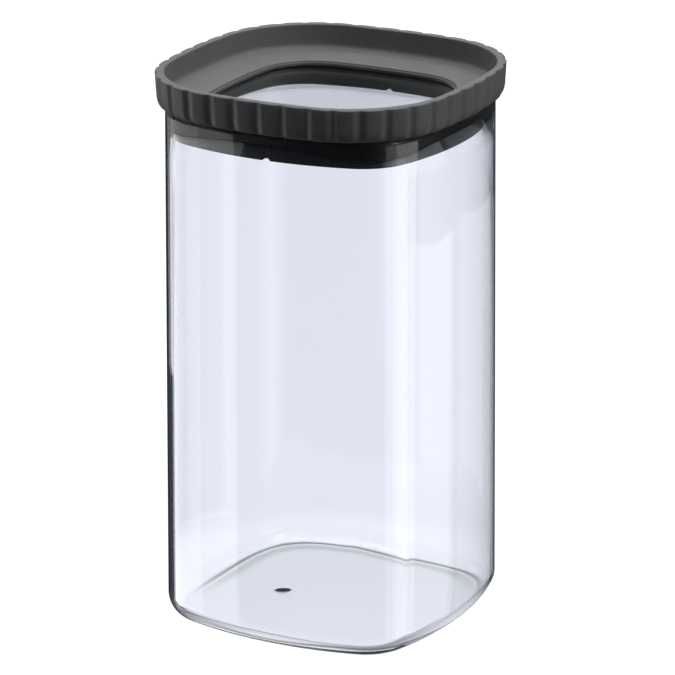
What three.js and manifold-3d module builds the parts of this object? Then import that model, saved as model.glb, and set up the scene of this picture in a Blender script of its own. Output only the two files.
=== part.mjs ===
// Square glass storage canister with a tray-top lid.
// Units are millimetres, +Z is up, and the origin is the centre of the face
// the glass stands on. The four side faces look along +X, -X, +Y and -Y.
//
// Pieces:
//   glass_body   blown glass jar, rounded-square plan, open at the top
//   lid_frame    matt lid moulding: fluted grip wall, stacking tray, opening
//   lid_plug     inner moulding: flange, window ledge and skirt in the mouth
//   window_pane  clear pane held between the frame and the plug's ledge
//   seal_ring    soft ring round the plug, pressing on the glass
//
// The lid pieces lift out of the glass together along +Z.

import * as THREE from 'three';
import { mergeVertices } from 'three/addons/utils/BufferGeometryUtils.js';
import Module from 'manifold-3d';

// ---------------------------------------------------------------- dimensions
const TOTAL_HEIGHT = 192.3;        // base to the top of the lid's lip
const LID_HALF = 54.0;             // lid half width at the middle of a side
const LID_CORNER = 32.2;           // lid plan corner size
const LID_BOW = 1.4;               // how far a lid side bows outward

const GLASS_HALF_BASE = 51.4;      // glass half width just above the base edge
const GLASS_HALF_MOUTH = 50.5;     // glass half width at the mouth
const GLASS_CORNER = 20.0;         // glass plan corner size
const GLASS_BOW = 4.4;             // how far a glass side bows outward
const GLASS_WALL = 2.6;            // wall thickness
const GLASS_HEIGHT = 180.2;        // base to the mouth
const BASE_EDGE = 7.85;            // outer rounding between wall and base
const BASE_THICK = 2.6;            // glass thickness over the base
const BASE_INNER_EDGE = 5.25;      // inner rounding between wall and floor
const BASE_PUSH = 0.7;             // rise of the middle of the underside
const MARK_RADIUS = 4.0;           // shallow pressed mark in the inner floor
const MARK_DEPTH = 0.6;
const MARK_X = -14.6;              // where the mark lies
const MARK_Y = -9.1;

const FLUTES = 40;                 // grip flutes round the lid
const FLUTE_DEPTH = 0.8;           // depth of the groove between two lobes
const FLUTE_SHIFT = 0.1;           // first groove, in flute pitches past the middle of +X
const LIP_HALF = 50.9;             // inner half width of the lip
const LIP_EDGE = 0.5;              // edge rounding of the lip
const TRAY_FLOOR_OUT = 183.95;     // tray floor height beside the lip
const TRAY_FLOOR_IN = 182.95;      // tray floor height beside the opening
const OPENING_HALF = 36.3;         // half width of the opening in the tray
const OPENING_CORNER = 18.0;
const OPENING_BOW = 0.9;
const OPENING_EDGE = 1.4;          // roll-over at the edge of the opening
const OPENING_FOOT = 180.95;       // lower edge of the wall of the opening
const RIM_FOOT = 180.7;            // lower edge of the grip wall

const PANE_BOTTOM = 179.1;
const PANE_TOP = 180.65;
const PANE_HALF = 41.0;

const FLANGE_TOP = 181.55;
const FLANGE_BOTTOM = 180.5;
const FLANGE_HALF = 49.4;
const LEDGE_TOP = 178.8;
const LEDGE_FOOT = 177.9;
const LEDGE_HALF = 37.4;
const PLUG_HALF = 47.5;            // skirt half width below the seal
const PLUG_SEAT = 45.4;            // skirt half width behind the seal
const PLUG_FOOT = 171.1;           // lower edge of the skirt
const PLUG_INNER = 44.6;           // skirt inner half width at its foot
const PLUG_CORNER = 17.0;
const PLUG_BOW = 4.4;
const SEAL_TOP = 180.2;
const SEAL_LOW_SIDE = 176.0;       // lower edge of the seal at a side middle
const SEAL_DIP = 2.9;              // how much lower it runs at the corners
const SEAL_HALF = 47.45;           // largest half width of the seal
const NOTCH_WIDTH = 2.2;           // vent notch in the skirt's foot
const NOTCH_HEIGHT = 0.8;
const NOTCH_SHIFT = 1.85;          // how far anticlockwise of the side's middle

const GAP = 0.3;                   // clearance between touching pieces

// ------------------------------------------------------------------ outlines
// A rounded square: sides bow outward as shallow parabolas and meet the corner
// arcs on a common tangent. Returns `count` points at equal steps of length,
// starting `shift` steps past the middle of +X and running anticlockwise.
function outline(half, corner, bow, count, shift = 0) {
  const fine = 240;
  const reach = half - corner;
  const tilt = Math.atan2(2 * bow, reach);
  const arc = (half - bow - reach) / (Math.cos(tilt) - Math.sin(tilt));
  const centre = half - bow - arc * Math.cos(tilt);
  const dense = [];
  for (let side = 0; side < 4; side += 1) {
    const turn = side * Math.PI / 2;
    const place = (x, y) => dense.push(new THREE.Vector2(x, y).rotateAround(new THREE.Vector2(0, 0), turn));
    for (let i = 0; i < fine; i += 1) {
      const t = i / fine;
      place(half - bow * t * t, reach * t);
    }
    for (let i = 0; i < fine; i += 1) {
      const angle = tilt + (Math.PI / 2 - 2 * tilt) * i / fine;
      place(centre + arc * Math.cos(angle), centre + arc * Math.sin(angle));
    }
    for (let i = 0; i < fine; i += 1) {
      const t = 1 - i / fine;
      place(reach * t, half - bow * t * t);
    }
  }
  dense.push(dense[0].clone());
  const run = [0];
  for (let i = 1; i < dense.length; i += 1) run.push(run[i - 1] + dense[i].distanceTo(dense[i - 1]));
  const total = run[run.length - 1];
  const points = [];
  let at = 0;
  for (let k = 0; k < count; k += 1) {
    const target = total * (k + shift) / count;
    while (run[at + 1] < target) at += 1;
    const share = (target - run[at]) / (run[at + 1] - run[at]);
    points.push(dense[at].clone().lerp(dense[at + 1], share));
  }
  return points;
}

function normals(points) {
  const n = points.length;
  return points.map((p, i) => {
    const t = points[(i + 1) % n].clone().sub(points[(i + n - 1) % n]).normalize();
    return new THREE.Vector2(t.y, -t.x);
  });
}

// One horizontal section. `rise` may be a number or a function of the share of
// the way round (0 at the middle of +X, 1/8 at the first corner).
function section(half, corner, bow, rise, count, push = null, shift = 0) {
  const points = outline(half, corner, bow, count, shift);
  const outward = push ? normals(points) : null;
  return points.map((p, i) => {
    const share = i / count;
    const q = push ? p.clone().addScaledVector(outward[i], push(share)) : p;
    const z = typeof rise === 'function' ? rise(share) : rise;
    return new THREE.Vector3(q.x, q.y, z);
  });
}

// 0 at the side middles, 1 at the corners.
function cornerness(share) {
  return Math.pow((1 - Math.cos(8 * Math.PI * share)) / 2, 1.5);
}

// Joins sections with quads. A ring closes the last section to the first one;
// otherwise the ends close on their own centres.
function loft(sections, ring) {
  const count = sections[0].length;
  const position = [];
  const index = [];
  for (const s of sections) for (const p of s) position.push(p.x, p.y, p.z);
  const rows = sections.length;
  const last = ring ? rows : rows - 1;
  for (let r = 0; r < last; r += 1) {
    const next = (r + 1) % rows;
    for (let i = 0; i < count; i += 1) {
      const j = (i + 1) % count;
      const a = r * count + i, b = r * count + j, c = next * count + j, d = next * count + i;
      index.push(a, b, c, a, c, d);
    }
  }
  if (!ring) {
    for (const [row, flip] of [[0, true], [rows - 1, false]]) {
      const hub = position.length / 3;
      let z = 0;
      for (const p of sections[row]) z += p.z / count;
      position.push(0, 0, z);
      for (let i = 0; i < count; i += 1) {
        const j = (i + 1) % count;
        if (flip) index.push(hub, row * count + j, row * count + i);
        else index.push(hub, row * count + i, row * count + j);
      }
    }
  }
  let volume = 0;
  const v = (k) => new THREE.Vector3(position[3 * k], position[3 * k + 1], position[3 * k + 2]);
  for (let i = 0; i < index.length; i += 3) {
    volume += v(index[i]).dot(v(index[i + 1]).cross(v(index[i + 2])));
  }
  if (volume < 0) for (let i = 0; i < index.length; i += 3) [index[i + 1], index[i + 2]] = [index[i + 2], index[i + 1]];
  const geometry = new THREE.BufferGeometry();
  geometry.setAttribute('position', new THREE.Float32BufferAttribute(position, 3));
  geometry.setIndex(index);
  geometry.computeVertexNormals();
  return geometry;
}

// ------------------------------------------------------------------ booleans
const wasm = await Module();
wasm.setup();

function solid(geometry) {
  const bare = geometry.clone();
  bare.deleteAttribute('normal');
  bare.deleteAttribute('uv');
  const merged = mergeVertices(bare, 1e-4);
  return new wasm.Manifold(new wasm.Mesh({
    numProp: 3,
    vertProperties: new Float32Array(merged.attributes.position.array),
    triVerts: new Uint32Array(merged.index.array),
  }));
}

function fromSolid(manifold) {
  const mesh = manifold.getMesh();
  const geometry = new THREE.BufferGeometry();
  geometry.setAttribute('position', new THREE.Float32BufferAttribute(mesh.vertProperties, 3));
  geometry.setIndex(new THREE.Uint32BufferAttribute(mesh.triVerts, 1));
  geometry.computeVertexNormals();
  return geometry;
}

// ---------------------------------------------------------------- glass_body
function glassBody() {
  const n = 64;
  const S = [];
  const add = (half, corner, bow, z) => S.push(section(half, corner, bow, z, n));
  const foot = GLASS_HALF_BASE - BASE_EDGE;
  const footCorner = GLASS_CORNER - BASE_EDGE;
  // underside, from the raised middle out to the flat standing band
  add(12, 11.5, 0.05, BASE_PUSH);
  add(33, 12, 2.8, BASE_PUSH * 0.55);
  add(38.5, 12, 3.7, 0);
  add(foot, footCorner, GLASS_BOW, 0);
  // rounded edge up to the wall
  for (const deg of [22.5, 45, 67.5, 90]) {
    const a = deg * Math.PI / 180;
    const out = BASE_EDGE * Math.sin(a);
    add(foot + out, footCorner + out, GLASS_BOW, BASE_EDGE * (1 - Math.cos(a)));
  }
  // wall and fire-rounded mouth
  const lip = GLASS_WALL / 2;
  add(GLASS_HALF_MOUTH, GLASS_CORNER, GLASS_BOW, GLASS_HEIGHT - lip);
  for (const deg of [45, 90, 135]) {
    const a = deg * Math.PI / 180;
    const back = lip * (1 - Math.cos(a));
    add(GLASS_HALF_MOUTH - back, GLASS_CORNER - back, GLASS_BOW, GLASS_HEIGHT - lip + lip * Math.sin(a));
  }
  const inner = GLASS_CORNER - GLASS_WALL;
  add(GLASS_HALF_MOUTH - GLASS_WALL, inner, GLASS_BOW, GLASS_HEIGHT - lip);
  // inner wall down to the floor
  const innerTop = BASE_THICK + BASE_INNER_EDGE;
  for (const deg of [90, 60, 30, 0]) {
    const a = deg * Math.PI / 180;
    const back = BASE_INNER_EDGE * (1 - Math.sin(a));
    add(GLASS_HALF_BASE - GLASS_WALL - back, inner - back, GLASS_BOW, innerTop - BASE_INNER_EDGE * Math.cos(a));
  }
  add(33, 12, 2.8, BASE_THICK + BASE_PUSH * 0.4);
  add(12, 11.5, 0.05, BASE_THICK + BASE_PUSH * 0.8);
  add(3, 2.9, 0, BASE_THICK + BASE_PUSH);
  // the pressed mark is a shallow spherical dish
  const floor = BASE_THICK + BASE_PUSH * 0.7;
  const profile = [new THREE.Vector2(0, floor - MARK_DEPTH)];
  for (const t of [0.25, 0.5, 0.75, 1]) {
    profile.push(new THREE.Vector2(MARK_RADIUS * t, floor + MARK_DEPTH * (t * t - 1) + 0.05 * t));
  }
  profile.push(new THREE.Vector2(MARK_RADIUS + 0.2, floor + 2), new THREE.Vector2(0, floor + 2));
  const dish = new THREE.LatheGeometry(profile, 32);
  dish.rotateX(Math.PI / 2);
  dish.translate(MARK_X, MARK_Y, 0);
  return fromSolid(solid(loft(S, false)).subtract(solid(dish)));
}

// ----------------------------------------------------------------- lid_frame
function lidFrame() {
  const n = FLUTES * 4;
  const S = [];
  // broad convex lobes with a narrow groove between each two
  const flute = (depth) => (share) => -depth * (1 - Math.pow(Math.abs(Math.sin(Math.PI * FLUTES * share)), 0.75));
  const at = FLUTE_SHIFT * n / FLUTES;
  const outer = (inset, z, depth) => S.push(section(LID_HALF - inset, LID_CORNER - inset * 0.6, LID_BOW, z, n, flute(depth), at));
  const ring = (half, corner, bow, z) => S.push(section(half, corner, bow, z, n, null, at));
  const lip = (half, z) => ring(half, 32.4 - (LIP_HALF - half), 0.8, z);
  // grip wall, from the lip down to the foot
  outer(LIP_EDGE, TOTAL_HEIGHT, FLUTE_DEPTH * 0.9);
  outer(0, TOTAL_HEIGHT - LIP_EDGE, FLUTE_DEPTH);
  outer(0.35, 184.6, FLUTE_DEPTH);
  outer(0.85, 182.2, FLUTE_DEPTH * 0.9);
  outer(1.6, 181.1, FLUTE_DEPTH * 0.6);
  outer(2.6, RIM_FOOT, FLUTE_DEPTH * 0.2);
  // underside
  ring(50.5, 31.0, 1.2, RIM_FOOT + 0.15);
  ring(50.1, 30.5, 1.2, FLANGE_TOP + GAP);
  ring(41.0, 21.3, 1.2, FLANGE_TOP + GAP);
  ring(40.6, 20.9, 1.2, OPENING_FOOT);
  // wall of the opening and its rolled edge
  ring(OPENING_HALF + 0.5, OPENING_CORNER + 0.5, OPENING_BOW, OPENING_FOOT);
  ring(OPENING_HALF, OPENING_CORNER, OPENING_BOW, OPENING_FOOT + 0.7);
  ring(OPENING_HALF + 0.12, OPENING_CORNER + 0.12, OPENING_BOW, TRAY_FLOOR_IN - 0.65);
  ring(OPENING_HALF + 0.6, OPENING_CORNER + 0.6, OPENING_BOW, TRAY_FLOOR_IN - 0.22);
  ring(OPENING_HALF + OPENING_EDGE + 0.3, OPENING_CORNER + OPENING_EDGE, OPENING_BOW, TRAY_FLOOR_IN);
  // tray floor, fillet and lip
  lip(LIP_HALF - 1.6, TRAY_FLOOR_OUT - 0.02);
  lip(LIP_HALF - 0.45, TRAY_FLOOR_OUT + 0.42);
  lip(LIP_HALF - 0.05, TRAY_FLOOR_OUT + 1.5);
  lip(LIP_HALF, TOTAL_HEIGHT - LIP_EDGE);
  lip(LIP_HALF + LIP_EDGE, TOTAL_HEIGHT);
  return loft(S, true);
}

// ------------------------------------------------------------------ lid_plug
const plugEdge = (share) => SEAL_LOW_SIDE - SEAL_DIP * cornerness(share);

function lidPlug() {
  const n = 64;
  const S = [];
  const skirt = (half, z) => S.push(section(half, PLUG_CORNER - (PLUG_HALF - half), PLUG_BOW, z, n));
  skirt(PLUG_HALF, (s) => plugEdge(s) - GAP);
  skirt(PLUG_HALF - 0.05, PLUG_FOOT + 0.5);
  skirt(PLUG_HALF - 0.5, PLUG_FOOT);
  S.push(section(PLUG_INNER + 0.3, 17.4, 3.4, PLUG_FOOT, n));
  S.push(section(PLUG_INNER, 17.4, 3.4, PLUG_FOOT + 0.4, n));
  S.push(section(PLUG_INNER - 1.2, 17.4, 3.2, LEDGE_FOOT - 1.2, n));
  S.push(section(PLUG_INNER - 2.2, 17.2, 3.0, LEDGE_FOOT, n));
  S.push(section(LEDGE_HALF, 19.6, 0.7, LEDGE_FOOT, n));
  S.push(section(LEDGE_HALF, 19.6, 0.7, LEDGE_TOP - 0.3, n));
  S.push(section(LEDGE_HALF + 0.3, 19.9, 0.7, LEDGE_TOP, n));
  S.push(section(PANE_HALF + GAP, 21.6, 1.2, LEDGE_TOP, n));
  S.push(section(PANE_HALF + GAP + 0.2, 21.7, 1.2, FLANGE_TOP - 0.3, n));
  S.push(section(PANE_HALF + GAP + 0.7, 22.2, 1.2, FLANGE_TOP, n));
  S.push(section(FLANGE_HALF, 30.2, 1.2, FLANGE_TOP, n));
  S.push(section(FLANGE_HALF, 30.2, 1.2, FLANGE_BOTTOM, n));
  skirt(PLUG_SEAT, FLANGE_BOTTOM);
  skirt(PLUG_SEAT, (s) => plugEdge(s) - GAP);
  let body = solid(loft(S, true));
  for (const side of [-1, 1]) {
    const notch = new THREE.BoxGeometry(NOTCH_WIDTH, 8, NOTCH_HEIGHT * 2);
    notch.translate(-side * NOTCH_SHIFT, side * (PLUG_HALF - 1), PLUG_FOOT);
    body = body.subtract(solid(notch));
  }
  return fromSolid(body);
}

// --------------------------------------------------------------- window_pane
function windowPane() {
  const n = 64;
  const pane = (half, z) => section(half, 21.3 - (PANE_HALF - half), 1.2, z, n);
  return loft([
    pane(PANE_HALF - 0.3, PANE_BOTTOM),
    pane(PANE_HALF, PANE_BOTTOM + 0.3),
    pane(PANE_HALF, PANE_TOP - 0.3),
    pane(PANE_HALF - 0.3, PANE_TOP),
  ], false);
}

// ----------------------------------------------------------------- seal_ring
function sealRing() {
  const n = 64;
  const S = [];
  const ring = (half, z) => S.push(section(half, PLUG_CORNER - (PLUG_HALF - half), PLUG_BOW, z, n));
  const seat = PLUG_SEAT + GAP;
  ring(seat, plugEdge);
  ring(seat, SEAL_TOP - 0.1);
  ring(SEAL_HALF - 1.1, SEAL_TOP);
  ring(SEAL_HALF - 0.35, SEAL_TOP - 0.8);
  ring(SEAL_HALF, (s) => SEAL_TOP + 0.45 * (plugEdge(s) - SEAL_TOP));
  ring(SEAL_HALF - 0.15, (s) => plugEdge(s) + 0.8);
  ring(SEAL_HALF - 0.5, plugEdge);
  return loft(S, true);
}

// --------------------------------------------------------------------- group
const finish = {
  glass: () => new THREE.MeshStandardMaterial({ color: 0xe9edf6, roughness: 0.03, metalness: 0, transparent: true, opacity: 0.3 }),
  frame: () => new THREE.MeshStandardMaterial({ color: 0x5c5d59, roughness: 0.62, metalness: 0 }),
  plug: () => new THREE.MeshStandardMaterial({ color: 0x3b3c3a, roughness: 0.38, metalness: 0 }),
  pane: () => new THREE.MeshStandardMaterial({ color: 0xdfe4f2, roughness: 0.04, metalness: 0, transparent: true, opacity: 0.3 }),
  seal: () => new THREE.MeshStandardMaterial({ color: 0x0e0e0f, roughness: 0.3, metalness: 0 }),
};

function node(name, geometry, material) {
  const mesh = new THREE.Mesh(geometry, material);
  mesh.name = name;
  return mesh;
}

const group = new THREE.Group();
group.name = 'lidded_glass_canister';

const body = new THREE.Group();
body.name = 'glass';
body.add(node('glass_body', glassBody(), finish.glass()));

const lid = new THREE.Group();
lid.name = 'lid';
lid.add(node('lid_frame', lidFrame(), finish.frame()));
lid.add(node('lid_plug', lidPlug(), finish.plug()));
lid.add(node('window_pane', windowPane(), finish.pane()));
lid.add(node('seal_ring', sealRing(), finish.seal()));

group.add(body, lid);

export default group;
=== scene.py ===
import bisect
import math

import bpy
from mathutils import Matrix, Vector


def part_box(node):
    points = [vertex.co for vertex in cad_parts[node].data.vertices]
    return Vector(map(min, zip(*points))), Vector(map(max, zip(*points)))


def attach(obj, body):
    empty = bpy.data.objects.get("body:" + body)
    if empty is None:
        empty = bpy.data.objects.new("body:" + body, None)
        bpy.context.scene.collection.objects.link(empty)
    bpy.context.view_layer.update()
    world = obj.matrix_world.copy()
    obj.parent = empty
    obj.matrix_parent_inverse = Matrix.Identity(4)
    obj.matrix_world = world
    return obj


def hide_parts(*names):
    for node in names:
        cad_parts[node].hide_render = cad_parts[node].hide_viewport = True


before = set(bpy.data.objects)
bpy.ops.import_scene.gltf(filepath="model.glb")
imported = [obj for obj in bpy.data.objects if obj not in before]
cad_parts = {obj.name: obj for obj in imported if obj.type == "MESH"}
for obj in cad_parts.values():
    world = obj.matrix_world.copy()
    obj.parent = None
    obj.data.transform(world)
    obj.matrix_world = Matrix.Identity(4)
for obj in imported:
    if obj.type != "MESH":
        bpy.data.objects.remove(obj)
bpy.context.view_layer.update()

# ---------------------------------------------------------------------------
# Every length below is in millimetres and becomes metres in the mesh code.
# Heights that belong to the CAD pieces are read from the frame.
# ---------------------------------------------------------------------------
MM = 0.001
glass_lo, glass_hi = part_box("glass_body")
rim_lo, rim_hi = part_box("lid_frame")
plug_lo, plug_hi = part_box("lid_plug")
pane_lo, pane_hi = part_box("window_pane")
seal_lo, seal_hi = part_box("seal_ring")

TOP = rim_hi.z / MM                 # top of the lip
RIM_FOOT = rim_lo.z / MM            # foot of the grip wall
MOUTH = glass_hi.z / MM             # mouth of the glass
PLUG_FOOT = plug_lo.z / MM
FLANGE_TOP = plug_hi.z / MM
PANE_BOTTOM = pane_lo.z / MM
PANE_TOP = pane_hi.z / MM
SEAL_TOP = seal_hi.z / MM
LID_HALF = 53.98

BASE_HALF = 51.4
MOUTH_HALF = 50.5
WALL = 2.6
BASE_EDGE = 7.85
BASE_THICK = 2.6
BASE_PUSH = 0.7
MARK = (-14.6, -9.1)                # the pressed mark in the inner floor


# ------------------------------------------------------------------ outlines
def outline(half, corner, bow, count, shift=0.0):
    """Rounded square with bowed sides, in equal steps that start `shift` steps
    past the middle of +X."""
    fine = 400
    reach = half - corner
    tilt = math.atan2(2 * bow, reach)
    arc = (half - bow - reach) / (math.cos(tilt) - math.sin(tilt))
    centre = half - bow - arc * math.cos(tilt)
    one = []
    for i in range(fine):
        t = i / fine
        one.append((half - bow * t * t, reach * t))
    for i in range(fine):
        a = tilt + (math.pi / 2 - 2 * tilt) * i / fine
        one.append((centre + arc * math.cos(a), centre + arc * math.sin(a)))
    for i in range(fine):
        t = 1 - i / fine
        one.append((reach * t, half - bow * t * t))
    dense = []
    for k in range(4):
        c, s = [(1, 0), (0, 1), (-1, 0), (0, -1)][k]
        dense += [(x * c - y * s, x * s + y * c) for x, y in one]
    dense.append(dense[0])
    run = [0.0]
    for i in range(1, len(dense)):
        run.append(run[-1] + math.dist(dense[i], dense[i - 1]))
    total, out = run[-1], []
    for k in range(count):
        target = total * (((k + shift) / count) % 1.0)
        at = min(max(bisect.bisect_left(run, target) - 1, 0), len(run) - 2)
        f = (target - run[at]) / (run[at + 1] - run[at])
        p, q = dense[at], dense[at + 1]
        out.append((p[0] + (q[0] - p[0]) * f, p[1] + (q[1] - p[1]) * f))
    return out


def section(half, corner, bow, z, count, push=None, shift=0.0):
    """One ring of points; z and push may be functions of the share round."""
    pts = outline(half, corner, bow, count, shift)
    ring = []
    for i, (x, y) in enumerate(pts):
        share = i / count
        if push:
            a, b = pts[(i + 1) % count], pts[i - 1]
            tx, ty = a[0] - b[0], a[1] - b[1]
            n = math.hypot(tx, ty)
            d = push(share)
            x, y = x + ty / n * d, y - tx / n * d
        ring.append((x * MM, y * MM, (z(share) if callable(z) else z) * MM))
    return ring


def loft(name, sections, closed):
    """Quads between the sections. A closed loft joins last to first; an open
    one ends in a fan round its own middle."""
    count = len(sections[0])
    verts = [p for s in sections for p in s]
    faces = []
    rows = len(sections)
    for r in range(rows if closed else rows - 1):
        n = (r + 1) % rows
        for i in range(count):
            j = (i + 1) % count
            faces.append((r * count + i, r * count + j, n * count + j, n * count + i))
    if not closed:
        for row, flip in ((0, True), (rows - 1, False)):
            hub = len(verts)
            zs = [p[2] for p in sections[row]]
            verts.append((0, 0, sum(zs) / len(zs)))
            for i in range(count):
                j = (i + 1) % count
                a, b = row * count + i, row * count + j
                faces.append((hub, b, a) if flip else (hub, a, b))
    mesh = bpy.data.meshes.new(name)
    mesh.from_pydata(verts, [], faces)
    mesh.update()
    volume = 0.0
    for p in mesh.polygons:
        v = [Vector(verts[k]) for k in p.vertices]
        for k in range(1, len(v) - 1):
            volume += v[0].dot(v[k].cross(v[k + 1]))
    if volume < 0:
        mesh.flip_normals()
    for p in mesh.polygons:
        p.use_smooth = True
    obj = bpy.data.objects.new(name, mesh)
    bpy.context.scene.collection.objects.link(obj)
    return obj


def cornerness(share):
    return ((1 - math.cos(8 * math.pi * share)) / 2) ** 1.5


def arc_steps(start, stop, steps):
    """Angles in radians from start to stop degrees."""
    return [math.radians(start + (stop - start) * k / steps) for k in range(steps + 1)]


# ----------------------------------------------------------------- materials
def new_material(name):
    m = bpy.data.materials.new(name)
    m.use_nodes = True
    nt = m.node_tree
    return m, nt, nt.nodes["Principled BSDF"]


def link(nt, a, b):
    nt.links.new(a, b)


def noise(nt, scale, detail=3.0, rough=0.55, stretch=None):
    """3-D noise in object space, so that it needs no UVs and stays put."""
    tc = nt.nodes.new("ShaderNodeTexCoord")
    n = nt.nodes.new("ShaderNodeTexNoise")
    n.inputs["Scale"].default_value = scale
    n.inputs["Detail"].default_value = detail
    n.inputs["Roughness"].default_value = rough
    if stretch:
        mp = nt.nodes.new("ShaderNodeMapping")
        mp.inputs["Scale"].default_value = stretch
        link(nt, tc.outputs["Object"], mp.inputs["Vector"])
        link(nt, mp.outputs["Vector"], n.inputs["Vector"])
    else:
        link(nt, tc.outputs["Object"], n.inputs["Vector"])
    return n.outputs["Fac"]


def spread(nt, value, low, high, a=0.3, b=0.7):
    """Maps value from a..b to low..high."""
    r = nt.nodes.new("ShaderNodeMapRange")
    r.inputs["From Min"].default_value = a
    r.inputs["From Max"].default_value = b
    r.inputs["To Min"].default_value = low
    r.inputs["To Max"].default_value = high
    link(nt, value, r.inputs["Value"])
    return r.outputs["Result"]


def ramp(nt, value, stops):
    c = nt.nodes.new("ShaderNodeValToRGB")
    el = c.color_ramp.elements
    while len(el) < len(stops):
        el.new(0.5)
    for e, (pos, col) in zip(el, stops):
        e.position = pos
        e.color = (*col, 1)
    link(nt, value, c.inputs["Fac"])
    return c.outputs["Color"]


def mix_colour(nt, fac, a, b):
    m = nt.nodes.new("ShaderNodeMix")
    m.data_type = "RGBA"
    if isinstance(fac, float):
        m.inputs[0].default_value = fac
    else:
        link(nt, fac, m.inputs[0])
    for s, k in ((a, 6), (b, 7)):
        if isinstance(s, tuple):
            m.inputs[k].default_value = (*s, 1)
        else:
            link(nt, s, m.inputs[k])
    return m.outputs[2]


def bump(nt, bsdf, height, strength, distance, chain=None):
    b = nt.nodes.new("ShaderNodeBump")
    b.inputs["Strength"].default_value = strength
    b.inputs["Distance"].default_value = distance
    link(nt, height, b.inputs["Height"])
    if chain is not None:
        link(nt, chain, b.inputs["Normal"])
    link(nt, b.outputs["Normal"], bsdf.inputs["Normal"])
    return b.outputs["Normal"]


def worn_edges(nt, low=0.52, high=0.62):
    """0 on flats, 1 on convex edges."""
    g = nt.nodes.new("ShaderNodeNewGeometry")
    return spread(nt, g.outputs["Pointiness"], 0.0, 1.0, low, high)


def clear_glass(name, tint, ior, rough, depth_tint=None):
    m, nt, p = new_material(name)
    p.inputs["Transmission Weight"].default_value = 1.0
    p.inputs["IOR"].default_value = ior
    a = noise(nt, 9.0, 2.0)
    light = tuple(min(1.0, c * 1.004) for c in tint)
    link(nt, ramp(nt, a, [(0.3, tint), (0.7, light)]), p.inputs["Base Color"])
    smear = noise(nt, 38.0, 4.0, 0.6, (1, 1, 0.35))
    link(nt, spread(nt, smear, rough * 0.4, rough * 1.6), p.inputs["Roughness"])
    wave = noise(nt, 26.0, 1.0, 0.4, (1, 1, 0.3))
    bump(nt, p, wave, 0.06, 0.0006)
    if depth_tint:
        # long paths through the thick base turn faintly green
        soak = nt.nodes.new("ShaderNodeVolumeAbsorption")
        soak.inputs["Color"].default_value = (*depth_tint, 1)
        soak.inputs["Density"].default_value = 9.0
        link(nt, soak.outputs[0], nt.nodes["Material Output"].inputs["Volume"])
    return m


def frame_plastic(name):
    m, nt, p = new_material(name)
    base = ramp(nt, noise(nt, 60.0, 4.0, 0.6), [(0.3, (0.150, 0.151, 0.145)), (0.7, (0.172, 0.173, 0.166))])
    speck = noise(nt, 2600.0, 2.0, 0.7)
    fine = ramp(nt, speck, [(0.35, (0.92, 0.92, 0.92)), (0.65, (1.06, 1.06, 1.06))])
    mul = nt.nodes.new("ShaderNodeMix")
    mul.data_type = "RGBA"
    mul.blend_type = "MULTIPLY"
    mul.inputs[0].default_value = 1.0
    link(nt, base, mul.inputs[6])
    link(nt, fine, mul.inputs[7])
    rub = nt.nodes.new("ShaderNodeMath")
    rub.operation = "MULTIPLY"
    link(nt, worn_edges(nt, 0.53, 0.64), rub.inputs[0])
    link(nt, spread(nt, noise(nt, 140.0, 3.0), 0.0, 0.35, 0.45, 0.7), rub.inputs[1])
    link(nt, mix_colour(nt, rub.outputs[0], mul.outputs[2], (0.235, 0.236, 0.228)), p.inputs["Base Color"])
    link(nt, spread(nt, noise(nt, 90.0, 3.0), 0.50, 0.62), p.inputs["Roughness"])
    p.inputs["IOR"].default_value = 1.48
    grain = bump(nt, p, noise(nt, 3400.0, 2.0, 0.6), 0.16, 0.00004)
    bump(nt, p, noise(nt, 420.0, 2.0, 0.5), 0.08, 0.00008, grain)
    return m


def plug_plastic(name):
    m, nt, p = new_material(name)
    base = ramp(nt, noise(nt, 70.0, 3.0, 0.6), [(0.3, (0.046, 0.047, 0.045)), (0.7, (0.060, 0.061, 0.058))])
    link(nt, mix_colour(nt, spread(nt, worn_edges(nt, 0.54, 0.66), 0.0, 0.4, 0.0, 1.0), base, (0.10, 0.10, 0.097)),
         p.inputs["Base Color"])
    link(nt, spread(nt, noise(nt, 120.0, 3.0), 0.30, 0.40), p.inputs["Roughness"])
    p.inputs["IOR"].default_value = 1.5
    bump(nt, p, noise(nt, 1500.0, 2.0, 0.5), 0.08, 0.00003)
    return m


def silicone(name):
    m, nt, p = new_material(name)
    base = ramp(nt, noise(nt, 110.0, 3.0, 0.6), [(0.3, (0.0042, 0.0042, 0.0044)), (0.7, (0.0075, 0.0075, 0.0078))])
    link(nt, base, p.inputs["Base Color"])
    link(nt, spread(nt, noise(nt, 240.0, 3.0), 0.26, 0.38), p.inputs["Roughness"])
    p.inputs["IOR"].default_value = 1.41
    bump(nt, p, noise(nt, 900.0, 2.0, 0.5), 0.07, 0.00003)
    return m


mat_glass = clear_glass("jar_glass", (0.925, 0.928, 0.974), 1.47, 0.012, (0.0, 0.5, 0.35))
mat_pane = clear_glass("pane_clear", (0.75, 0.77, 0.83), 1.50, 0.016)
mat_frame = frame_plastic("frame_plastic")
mat_plug = plug_plastic("plug_plastic")
mat_seal = silicone("seal_silicone")


def finish_piece(obj, body, node, material):
    obj.data.materials.append(material)
    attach(obj, body)
    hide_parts(node)


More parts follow.
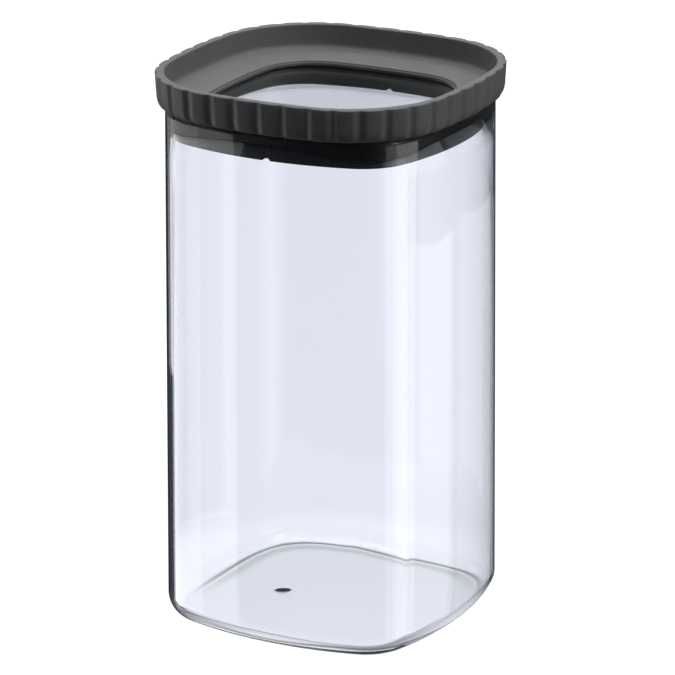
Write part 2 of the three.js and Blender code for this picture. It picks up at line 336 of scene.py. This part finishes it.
# ---------------------------------------------------------------- glass jar
def jar():
    n = 256
    S = []

    def add(half, corner, bow, z):
        S.append(section(half, corner, bow, z, n))

    foot, foot_corner, bow = BASE_HALF - BASE_EDGE, 20.0 - BASE_EDGE, 4.4

    def dome(r, share):
        """Rise of the pushed-up base at half width r."""
        t = min(1.0, r / 39.0)
        return BASE_PUSH * (1 - t * t) ** 1.2

    def floor_rings(level, sign):
        """Rings from the middle out to half width 38; the mark is a shallow
        dish with a faint rim, a little off the middle."""
        k, out = 0.6, []
        edge = outline(38.0, 12.05, 3.6, n)
        while k < 38.0:
            w = min(1.0, max(0.0, (k - 8.0) / 30.0))
            w = w * w * (3 - 2 * w)
            pts = []
            for i, (x, y) in enumerate(edge):
                a = 2 * math.pi * i / n
                pts.append((k * ((1 - w) * math.cos(a) + w * x / 38.0), k * ((1 - w) * math.sin(a) + w * y / 38.0)))
            ring = []
            for x, y in pts:
                d = math.hypot(x - MARK[0], y - MARK[1])
                dish = -0.56 * math.exp(-(d / 3.2) ** 2) + 0.06 * math.exp(-((d - 5.0) / 1.0) ** 2)
                ring.append((x * MM, y * MM, (level + dome(k, 0) + sign * dish) * MM))
            out.append(ring)
            near = abs(k - math.hypot(*MARK)) < 8.5
            k += 0.45 if near else 1.3
        return out

    # underside: pushed-up middle, flat standing band
    for ring in floor_rings(0.0, 0.0):
        S.append(ring)
    add(38.6, 12.0, 3.7, 0.0)
    add(foot - 0.4, foot_corner, bow, 0.0)
    # rounded edge and wall
    for a in arc_steps(0, 90, 14):
        out = BASE_EDGE * math.sin(a)
        add(foot + out, foot_corner + out, bow, BASE_EDGE * (1 - math.cos(a)))
    lip = WALL / 2
    steps = 12
    z0, z1 = BASE_EDGE, MOUTH - lip
    for k in range(1, steps):
        t = k / steps
        add(BASE_HALF + (MOUTH_HALF - BASE_HALF) * t, 20.0, bow, z0 + (z1 - z0) * t)
    for a in arc_steps(0, 180, 12):
        back = lip * (1 - math.cos(a))
        add(MOUTH_HALF - back, 20.0 - back, bow, z1 + lip * math.sin(a))
    # inner wall, inner rounding, floor
    inner, inner_edge = 20.0 - WALL, BASE_EDGE - WALL
    z_in = BASE_THICK + inner_edge
    for k in range(steps - 1, 0, -1):
        t = k / steps
        add(BASE_HALF - WALL + (MOUTH_HALF - BASE_HALF) * t, inner, bow, z_in + (z1 - z_in) * t)
    for a in arc_steps(90, 0, 12):
        back = inner_edge * (1 - math.sin(a))
        add(BASE_HALF - WALL - back, inner - back, bow, z_in - inner_edge * math.cos(a))
    for ring in reversed(floor_rings(BASE_THICK, 1.0)):
        S.append(ring)
    return loft("jar_glass_shell", S, False)


jar_piece = jar()
finish_piece(jar_piece, "glass", "glass_body", mat_glass)
jar_piece.visible_shadow = False


# ---------------------------------------------------------------- lid frame
FLUTES = 40


def lid_frame():
    n = FLUTES * 18
    FIRST = 0.1 * 18                # the first groove is a tenth of a pitch round
    S = []

    def flute(depth):
        # broad, faintly crowned lobes with a smooth groove between each two
        def cut(s):
            u = abs((s * FLUTES + 0.5) % 1.0 - 0.5)
            groove = 0.5 * (1 + math.cos(math.pi * u / 0.26)) if u < 0.26 else 0.0
            return -depth * (0.88 * groove + 0.12 * (1 - math.sin(math.pi * u)))
        return cut

    def outer(inset, z, depth):
        S.append(section(LID_HALF - inset, 32.2 - inset * 0.6, 1.4, z, n, flute(depth), FIRST))

    def lip(half, z):
        S.append(section(half, 32.4 - (50.9 - half), 0.8, z, n, None, FIRST))

    depth, edge = 0.8, 0.5
    for a in arc_steps(90, 0, 5):
        outer(edge * (1 - math.cos(a)), TOP - edge * (1 - math.sin(a)), depth * 0.95)
    for t in (0.25, 0.5, 0.75):
        outer(0.35 * t, TOP - edge - (TOP - edge - 184.6) * t, depth)
    outer(0.35, 184.6, depth)
    # rounded foot of the grip wall, where the flutes run out
    foot_profile = [(0.48, 183.7, 0.99), (0.66, 182.9, 0.96), (0.92, 182.15, 0.88), (1.26, 181.55, 0.74),
                    (1.66, 181.12, 0.55), (2.1, 180.84, 0.35), (2.6, 180.72, 0.15)]
    for inset, z, d in foot_profile:
        outer(inset, z, depth * d)
    S.append(section(51.0, 30.9, 1.35, RIM_FOOT, n, None, FIRST))
    S.append(section(50.55, 31.0, 1.2, RIM_FOOT + 0.2, n, None, FIRST))
    S.append(section(50.2, 30.6, 1.2, 181.6, n, None, FIRST))
    S.append(section(49.8, 30.2, 1.2, 181.9, n, None, FIRST))
    S.append(section(41.2, 21.5, 1.2, 181.88, n, None, FIRST))
    S.append(section(40.9, 21.2, 1.2, 181.5, n, None, FIRST))
    S.append(section(40.6, 20.9, 1.2, 180.98, n, None, FIRST))
    # wall of the opening, a fine step below its edge, and the rolled edge
    oh, oc, ob = 36.3, 18.0, 0.9
    for out, z in ((0.55, 180.96), (0.2, 181.05), (0.03, 181.25), (0.0, 181.6), (0.0, 182.1), (0.03, 182.24),
                   (0.10, 182.33), (0.20, 182.36), (0.38, 182.36), (0.46, 182.33), (0.5, 182.22), (0.52, 181.9),
                   (0.58, 181.82), (0.68, 181.82), (0.74, 181.9), (0.76, 182.3), (0.80, 182.6),
                   (0.90, 182.78), (1.1, 182.88), (1.35, 182.915), (1.7, 182.925)):
        S.append(section(oh + out, oc + out, ob, z, n, None, FIRST))
    # tray floor, rising a little towards the lip
    for t in (0.1, 0.35, 0.6, 0.85):
        h = 38.0 + (48.6 - 38.0) * t
        S.append(section(h, 19.7 + (30.4 - 19.7) * t, 0.9, 182.93 + (183.9 - 182.93) * t, n, None, FIRST))
    # fillet and inner wall of the lip, with a little draft
    r = 2.0
    for a in arc_steps(4, 84, 8):
        lip(50.34 - r + r * math.sin(a), 183.94 + r * (1 - math.cos(a)))
    for t in (0.1, 0.4, 0.7):
        lip(50.36 + 0.54 * t, 185.75 + (TOP - edge - 185.75) * t)
    for a in arc_steps(0, 90, 5):
        lip(50.9 + edge * (1 - math.cos(a)), TOP - edge + edge * math.sin(a))
    return loft("lid_frame_moulding", S, True)


frame_piece = lid_frame()
finish_piece(frame_piece, "lid", "lid_frame", mat_frame)


# ---------------------------------------------------------------- seal edge
SEAL_LOW, SEAL_DIP = 176.0, 2.9


def seal_edge(share):
    return SEAL_LOW - SEAL_DIP * cornerness(share)


# ----------------------------------------------------------------- lid plug
def lid_plug():
    n = 640
    S = []
    notch_half, notch_rise = 1.15, 0.8
    NOTCHES = (0.25 + 1.85 / 358.0, 0.75 + 1.85 / 358.0)

    def notch(share):
        """Rise of the skirt's foot near the middle of the +Y and -Y sides."""
        out = 0.0
        for middle in NOTCHES:
            d = abs(share - middle) * 358.0
            out = max(out, min(1.0, max(0.0, (notch_half + 0.35 - d) / 0.5)))
        return out * notch_rise

    def skirt(half, z, push=None):
        S.append(section(half, 17.0 - (47.5 - half), 4.4, z, n, push))

    def rib(share):
        """A fine parting groove up the skirt above each notch."""
        d = min(abs(share - m) for m in NOTCHES) * 358.0
        return -0.22 * math.exp(-(d / 0.45) ** 2)

    skirt(46.6, lambda s: seal_edge(s) - 0.3)
    skirt(47.3, lambda s: seal_edge(s) - 0.34)
    skirt(47.5, lambda s: seal_edge(s) - 0.6, rib)
    skirt(47.5, lambda s: PLUG_FOOT + 1.3 + 0.4 * notch(s), rib)
    for a in arc_steps(0, 90, 5):
        back = 0.5 * (1 - math.cos(a))
        skirt(47.49 - back, lambda s, a=a: PLUG_FOOT + 0.5 * (1 - math.sin(a)) + notch(s), rib)
    for a in arc_steps(90, 0, 4):
        back = 0.35 * (1 - math.cos(a))
        S.append(section(44.6 + back, 17.4 + back, 3.4,
                         lambda s, a=a: PLUG_FOOT + 0.35 * (1 - math.sin(a)) + notch(s), n))
    S.append(section(44.5, 17.4, 3.4, lambda s: PLUG_FOOT + 1.4 + 0.3 * notch(s), n))
    S.append(section(43.9, 17.4, 3.3, 174.4, n))
    S.append(section(43.4, 17.4, 3.2, 176.7, n))
    S.append(section(43.0, 17.3, 3.1, 177.5, n))
    S.append(section(42.3, 17.2, 3.0, 177.9, n))
    # window ledge with its rounded edge
    lh, lc, lb = 37.4, 19.6, 0.7
    S.append(section(lh + 2.2, lc + 2.0, lb, 177.9, n))
    S.append(section(lh + 1.9, lc + 1.8, lb, 177.72, n))
    S.append(section(lh + 0.6, lc + 0.6, lb, 177.72, n))
    for a in arc_steps(90, -90, 8):
        S.append(section(lh + 0.3 * (1 - math.cos(a)), lc + 0.3 * (1 - math.cos(a)), lb,
                         178.25 - 0.5 * math.sin(a), n))
    S.append(section(lh + 1.2, lc + 1.1, lb, 178.78, n))
    S.append(section(41.2, 21.5, 1.2, 178.79, n))
    S.append(section(41.3, 21.6, 1.2, 178.9, n))
    S.append(section(41.5, 21.7, 1.2, 181.2, n))
    S.append(section(41.7, 21.9, 1.2, 181.5, n))
    S.append(section(42.2, 22.3, 1.2, FLANGE_TOP, n))
    S.append(section(49.1, 29.9, 1.2, FLANGE_TOP, n))
    S.append(section(49.4, 30.2, 1.2, FLANGE_TOP - 0.25, n))
    S.append(section(49.4, 30.2, 1.2, 180.75, n))
    S.append(section(49.15, 30.0, 1.2, 180.5, n))
    skirt(45.9, 180.5)
    skirt(45.4, 180.35)
    skirt(45.4, lambda s: seal_edge(s) - 0.1)
    skirt(45.5, lambda s: seal_edge(s) - 0.3)
    return loft("lid_plug_moulding", S, True)


plug_piece = lid_plug()
finish_piece(plug_piece, "lid", "lid_plug", mat_plug)


# -------------------------------------------------------------- window pane
def window_pane():
    n = 256
    S = []
    r = 0.3
    for a in arc_steps(90, 0, 4):
        half = 41.0 - r * (1 - math.cos(a))
        S.append(section(half, 21.3 - (41.0 - half), 1.2, PANE_BOTTOM + r * (1 - math.sin(a)), n))
    for a in arc_steps(0, 90, 4):
        half = 41.0 - r * (1 - math.cos(a))
        S.append(section(half, 21.3 - (41.0 - half), 1.2, PANE_TOP - r * (1 - math.sin(a)), n))
    bottom = [section(30, 15.5, 0.8, PANE_BOTTOM, n), section(40.5, 20.8, 1.2, PANE_BOTTOM, n),
              section(40.66, 20.96, 1.2, PANE_BOTTOM, n)]
    top = [section(40.66, 20.96, 1.2, PANE_TOP, n), section(40.5, 20.8, 1.2, PANE_TOP, n),
           section(30, 15.5, 0.8, PANE_TOP, n)]
    return loft("window_pane_clear", bottom + S + top, False)


pane_piece = window_pane()
finish_piece(pane_piece, "lid", "window_pane", mat_pane)
pane_piece.visible_shadow = False


# ---------------------------------------------------------------- seal ring
def seal_ring():
    n = 384
    S = []

    def ring(half, z):
        S.append(section(half, 17.4 - (47.9 - half), 4.4, z, n))

    def between(t):
        """Height at share t down from the seal's top to its lower edge."""
        return lambda s: SEAL_TOP - t * (SEAL_TOP - seal_edge(s))

    ring(45.72, seal_edge)
    ring(45.72, SEAL_TOP - 0.1)
    ring(45.9, SEAL_TOP)
    ring(46.3, SEAL_TOP)
    ring(46.9, SEAL_TOP - 0.04)
    # two soft lips with a shallow channel between them, pressed on the glass
    for t, half in ((0.02, 47.45), (0.05, 47.85), (0.09, 48.0), (0.2, 48.06), (0.34, 48.06), (0.46, 48.0), (0.54, 48.0),
                    (0.64, 48.06), (0.80, 48.06), (0.90, 48.02), (0.95, 47.85), (0.985, 47.4)):
        ring(half, between(t))
    ring(46.7, seal_edge)
    return loft("seal_ring_silicone", S, True)


seal_piece = seal_ring()
finish_piece(seal_piece, "lid", "seal_ring", mat_seal)


# -------------------------------------------------------------------- stage
def straight_view(nt):
    """1 for a ray that has only gone straight on, through glass or not; the
    backdrop is bright for those and dark for what the object mirrors."""
    lp = nt.nodes.new("ShaderNodeLightPath")

    def math_node(op, a, b):
        m = nt.nodes.new("ShaderNodeMath")
        m.operation = op
        for k, v in ((0, a), (1, b)):
            if isinstance(v, float):
                m.inputs[k].default_value = v
            else:
                nt.links.new(v, m.inputs[k])
        return m.outputs[0]

    bent = math_node("ADD", lp.outputs["Diffuse Depth"], lp.outputs["Glossy Depth"])
    return math_node("LESS_THAN", bent, 0.5)


def plane(name, size, location, rotation, colour, strength=None):
    half_x, half_y = size[0] / 2, size[1] / 2
    mesh = bpy.data.meshes.new(name)
    mesh.from_pydata([(-half_x, -half_y, 0), (half_x, -half_y, 0), (half_x, half_y, 0), (-half_x, half_y, 0)], [],
                     [(0, 1, 2, 3)])
    o = bpy.data.objects.new(name, mesh)
    o.location = location
    o.rotation_euler = rotation
    bpy.context.scene.collection.objects.link(o)
    m = bpy.data.materials.new(name)
    m.use_nodes = True
    p = m.node_tree.nodes["Principled BSDF"]
    p.inputs["Base Color"].default_value = (*colour, 1)
    p.inputs["Roughness"].default_value = 0.9
    p.inputs["Specular IOR Level"].default_value = 0.0
    if strength is not None:
        p.inputs["Emission Color"].default_value = (1, 1, 1, 1)
        p.inputs["Emission Strength"].default_value = strength
    o.data.materials.append(m)
    return o


SWEEP_HALF, SWEEP_DARK = 0.14, 0.25
floor = plane("pale_floor", (60, 60), (0, 0, -0.0002), (0, 0, 0), (0.16, 0.16, 0.16))
floor.visible_diffuse = False
floor_material = floor.data.materials[0]
floor_material.cycles.emission_sampling = "NONE"
ft = floor_material.node_tree
shade = ft.nodes["Principled BSDF"]
shade.inputs["Emission Color"].default_value = (1, 1, 1.03, 1)
place = ft.nodes.new("ShaderNodeNewGeometry")
far = ft.nodes.new("ShaderNodeVectorMath")
far.operation = "LENGTH"
ft.links.new(place.outputs["Position"], far.inputs[0])


def floor_node(op, a, b=0.0):  # one maths node on the floor
    m = ft.nodes.new("ShaderNodeMath")
    m.operation = op
    for k, v in ((0, a), (1, b)):
        if isinstance(v, float):
            m.inputs[k].default_value = v
        else:
            ft.links.new(v, m.inputs[k])
    return m.outputs[0]


def floor_step(value, near, far_edge, at_near, at_far):
    r = ft.nodes.new("ShaderNodeMapRange")
    r.interpolation_type = "SMOOTHSTEP"
    r.inputs["From Min"].default_value = near
    r.inputs["From Max"].default_value = far_edge
    r.inputs["To Min"].default_value = at_near
    r.inputs["To Max"].default_value = at_far
    ft.links.new(value, r.inputs["Value"])
    return r.outputs["Result"]


def floor_along(direction):
    d = ft.nodes.new("ShaderNodeVectorMath")
    d.operation = "DOT_PRODUCT"
    d.inputs[1].default_value = direction
    ft.links.new(place.outputs["Position"], d.inputs[0])
    return d.outputs["Value"]


# a glowing white sweep whose light is painted into the floor's emission; behind the jar the glow is painted darker just
# beyond its sides, which draws the edges of the glass
TURN = math.radians(28.244)
across = floor_node("ABSOLUTE", floor_along((math.cos(TURN), math.sin(TURN), 0)))
behind_jar = floor_along((-math.sin(TURN), math.cos(TURN), 0))
sweep = floor_node("MAXIMUM", floor_step(across, SWEEP_HALF, SWEEP_HALF + 0.08, 1.0, 0.0),
                   floor_step(far.outputs["Value"], 0.48, 0.60, 0.0, 1.0))
sweep = floor_node("MAXIMUM", sweep, floor_step(behind_jar, 0.0, 0.05, 1.0, 0.0))
# a painted pool of brighter glow on the floor round the jar
near = floor_step(far.outputs["Value"], 0.065, 0.10, 0.08, 0.0)
seen = ft.nodes.new("ShaderNodeLightPath")
glow = floor_node("ADD", floor_step(sweep, 0.0, 1.0, SWEEP_DARK, 0.90), floor_node("MULTIPLY", near, 1.6))
# painted light: the sweep's glow is a little brighter on the right, as seen far behind the jar
right_side = floor_step(floor_along((math.cos(TURN), math.sin(TURN), 0)), 0.018, 0.040, 0.0, 0.07)
glow = floor_node("ADD", glow, floor_node("MULTIPLY", right_side, floor_step(behind_jar, 0.05, 0.14, 0.0, 1.0)))
glow = floor_node("MAXIMUM", glow, floor_node("MULTIPLY", seen.outputs["Is Camera Ray"], 1.0))
# the painted contact shadow round the foot, and a painted darker green shade under the flat band where glass and table
# touch; u is the half width of the rounded square through a point, in mm
split = ft.nodes.new("ShaderNodeSeparateXYZ")
ft.links.new(place.outputs["Position"], split.inputs[0])
quads = []
for axis in ("X", "Y"):
    grown = floor_node("MULTIPLY", floor_node("ABSOLUTE", split.outputs[axis]), 1000.0)
    quads.append(floor_node("POWER", grown, 4.0))
u = floor_node("POWER", floor_node("ADD", quads[0], quads[1]), 0.25)
dark_ring = floor_node("MULTIPLY", floor_step(u, 42.9, 44.1, 0.0, 1.0), floor_step(u, 44.3, 46.6, 1.0, 0.0))
contact_band_shade = floor_node("MULTIPLY", floor_step(u, 36.8, 40.5, 0.0, 1.0), floor_step(u, 41.6, 42.9, 1.0, 0.0))
contact_band_shade = floor_node("MULTIPLY", contact_band_shade, floor_step(behind_jar, -0.004, 0.022, 0.0, 1.0))
fore_aft = floor_node("MAXIMUM", floor_step(behind_jar, -0.002, 0.024, 0.12, 1.0),
                      floor_step(behind_jar, -0.034, -0.022, 1.0, 0.12))
dark_ring = floor_node("MULTIPLY", dark_ring, fore_aft)
glass_only = floor_node("SUBTRACT", 1.0, seen.outputs["Is Camera Ray"])
ring_part = floor_node("MULTIPLY", floor_node("MULTIPLY", dark_ring, 0.75), glass_only)
ft.links.new(floor_node("MULTIPLY", glow, floor_node("SUBTRACT", 1.0, ring_part)), shade.inputs["Emission Strength"])
# painted darker green shade, seen only through the glass, under the band where glass and table touch
tone = ft.nodes.new("ShaderNodeMix")
tone.data_type = "RGBA"
ft.links.new(floor_node("MULTIPLY", contact_band_shade, glass_only), tone.inputs[0])
tone.inputs[6].default_value = (1, 1, 1.03, 1)
tone.inputs[7].default_value = (0.68, 0.75, 0.69, 1)
ft.links.new(tone.outputs[2], shade.inputs["Emission Color"])
under = ft.nodes.new("ShaderNodeMapRange")      # the pale table the jar stands on
under.inputs["From Min"].default_value = 0.046
under.inputs["From Max"].default_value = 0.060
under.inputs["To Min"].default_value = 0.85
under.inputs["To Max"].default_value = 0.0
ft.links.new(far.outputs["Value"], under.inputs["Value"])
shown = ft.nodes.new("ShaderNodeMath")
shown.operation = "MAXIMUM"
ft.links.new(straight_view(ft), shown.inputs[0])
ft.links.new(under.outputs["Result"], shown.inputs[1])
clear = ft.nodes.new("ShaderNodeBsdfTransparent")
blend = ft.nodes.new("ShaderNodeMixShader")
ft.links.new(shown.outputs[0], blend.inputs[0])
ft.links.new(clear.outputs[0], blend.inputs[1])
ft.links.new(shade.outputs[0], blend.inputs[2])
ft.links.new(blend.outputs[0], ft.nodes["Material Output"].inputs["Surface"])

AZ, EL = math.radians(28.244), math.radians(18.277)
back = Vector((math.sin(AZ) * math.cos(EL), -math.cos(AZ) * math.cos(EL), math.sin(EL)))
right = Vector((math.cos(AZ), math.sin(AZ), 0))
up = right.cross(-back)


def panel(name, psi, distance, width, height, z, power, colour=(1, 1, 1), camera=False):
    """An upright soft panel. psi is degrees from -Y towards +X."""
    a = math.radians(psi)
    where = Vector((math.sin(a), -math.cos(a), 0)) * distance
    where.z = z
    lamp = bpy.data.lights.new(name, "AREA")
    lamp.shape = "RECTANGLE"
    lamp.size, lamp.size_y = width, height
    lamp.energy = power
    lamp.color = colour
    o = bpy.data.objects.new(name, lamp)
    bpy.context.scene.collection.objects.link(o)
    o.location = where
    o.rotation_euler = (Vector((0, 0, z)) - where).to_track_quat("-Z", "Y").to_euler()
    o.visible_camera = camera
    return o


def softbox(name, psi, elevation, distance, size, power):
    """A square softbox aimed at the lid."""
    a, e = math.radians(psi), math.radians(elevation)
    aim = Vector((0, 0, 0.15))
    where = aim + Vector((math.sin(a) * math.cos(e), -math.cos(a) * math.cos(e), math.sin(e))) * distance
    lamp = bpy.data.lights.new(name, "AREA")
    lamp.shape = "SQUARE"
    lamp.size = size
    lamp.energy = power
    o = bpy.data.objects.new(name, lamp)
    bpy.context.scene.collection.objects.link(o)
    o.location = where
    o.rotation_euler = (aim - where).to_track_quat("-Z", "Y").to_euler()
    o.visible_camera = False
    return o


softbox("top_softbox", 180, 82, 1.15, 1.2, 12.5)
softbox("key_softbox", 96, 45, 1.2, 0.5, 3.5)
softbox("fill_softbox", -100, 35, 1.2, 0.5, 1.9)


def card(name, psi_a, psi_b, distance, z_low, z_high, radiance):
    """An upright panel that spans psi_a to psi_b as seen from the jar."""
    half = (psi_b - psi_a) / 2
    width = 2 * distance * math.tan(math.radians(half))
    height = z_high - z_low
    return panel(name, (psi_a + psi_b) / 2, distance, width, height, (z_low + z_high) / 2,
                 radiance * math.pi * width * height)


card("left_panel", -100, -54, 1.1, -0.80, 0.16, 1.6)
card("left_panel_far", -116, -100, 1.1, -0.27, 0.16, 0.65)
card("left_panel_edge", -54, -38, 1.1, -0.80, 0.16, 1.1)
card("right_panel", 86, 120, 1.1, -0.80, 0.10, 1.8)
card("right_panel_edge", 68, 86, 1.1, -0.80, 0.10, 0.8)
card("right_rear", 120, 142, 1.1, -0.80, -0.18, 0.75)
card("back_card", 142, 173, 0.42, -0.25, 0.03, 0.26)

world = bpy.data.worlds.new("studio")
bpy.context.scene.world = world
world.use_nodes = True
world.cycles.sampling_method = "NONE"
wn = world.node_tree
wn.nodes.clear()
out = wn.nodes.new("ShaderNodeOutputWorld")
white = wn.nodes.new("ShaderNodeBackground")
white.inputs[0].default_value = (1, 1, 1, 1)
white.inputs[1].default_value = 1.0
dim = wn.nodes.new("ShaderNodeBackground")
dim.inputs[0].default_value = (0.88, 0.98, 1.16, 1)
dim.inputs[1].default_value = 0.06
mixer = wn.nodes.new("ShaderNodeMixShader")
way = wn.nodes.new("ShaderNodeTexCoord")
part = wn.nodes.new("ShaderNodeSeparateXYZ")
wn.links.new(way.outputs["Generated"], part.inputs[0])
dot = wn.nodes.new("ShaderNodeVectorMath")
dot.operation = "DOT_PRODUCT"
dot.inputs[1].default_value = (-math.sin(AZ), math.cos(AZ), 0)
wn.links.new(way.outputs["Generated"], dot.inputs[0])
behind = wn.nodes.new("ShaderNodeMapRange")
behind.interpolation_type = "SMOOTHSTEP"
behind.inputs["From Min"].default_value = 0.45
behind.inputs["From Max"].default_value = 0.75
wn.links.new(dot.outputs["Value"], behind.inputs["Value"])
rising = wn.nodes.new("ShaderNodeMapRange")
rising.interpolation_type = "SMOOTHSTEP"
rising.inputs["From Min"].default_value = 0.0
rising.inputs["From Max"].default_value = 0.15
wn.links.new(part.outputs["Z"], rising.inputs["Value"])
drop = wn.nodes.new("ShaderNodeMath")
drop.operation = "MULTIPLY"
wn.links.new(behind.outputs["Result"], drop.inputs[0])
wn.links.new(rising.outputs["Result"], drop.inputs[1])
backdrop = wn.nodes.new("ShaderNodeMath")
backdrop.operation = "MAXIMUM"
wn.links.new(straight_view(wn), backdrop.inputs[0])
half_drop = wn.nodes.new("ShaderNodeMath")
half_drop.operation = "MULTIPLY"
half_drop.inputs[1].default_value = 0.5
wn.links.new(drop.outputs[0], half_drop.inputs[0])
wn.links.new(half_drop.outputs[0], backdrop.inputs[1])
wn.links.new(backdrop.outputs[0], mixer.inputs[0])
wn.links.new(dim.outputs[0], mixer.inputs[1])
wn.links.new(white.outputs[0], mixer.inputs[2])
wn.links.new(mixer.outputs[0], out.inputs[0])

# ------------------------------------------------------------------- camera
cam_data = bpy.data.cameras.new("camera")
cam_data.sensor_width = 36.0
cam_data.lens = 4325.9 / 675 * 36.0
cam_data.clip_start, cam_data.clip_end = 0.05, 200
cam = bpy.data.objects.new("camera", cam_data)
bpy.context.scene.collection.objects.link(cam)
roll = math.radians(-0.122)
right_r = right * math.cos(roll) + up * math.sin(roll)
up_r = up * math.cos(roll) - right * math.sin(roll)
rot = Matrix((right_r, up_r, back)).transposed()
cam.matrix_world = Matrix.Translation(back * 1.47916 + Vector((0, 0, 0.096054)) + right * 0.001873) @ rot.to_4x4()
bpy.context.scene.camera = cam

sc = bpy.context.scene
sc.view_settings.view_transform = "Standard"
sc.view_settings.look = "None"
sc.view_settings.exposure = 0.0
sc.view_settings.gamma = 1.0
sc.cycles.max_bounces = 24
sc.cycles.transmission_bounces = 20
sc.cycles.glossy_bounces = 10
sc.cycles.diffuse_bounces = 4
sc.cycles.transparent_max_bounces = 16
sc.cycles.caustics_reflective = False
sc.cycles.caustics_refractive = False
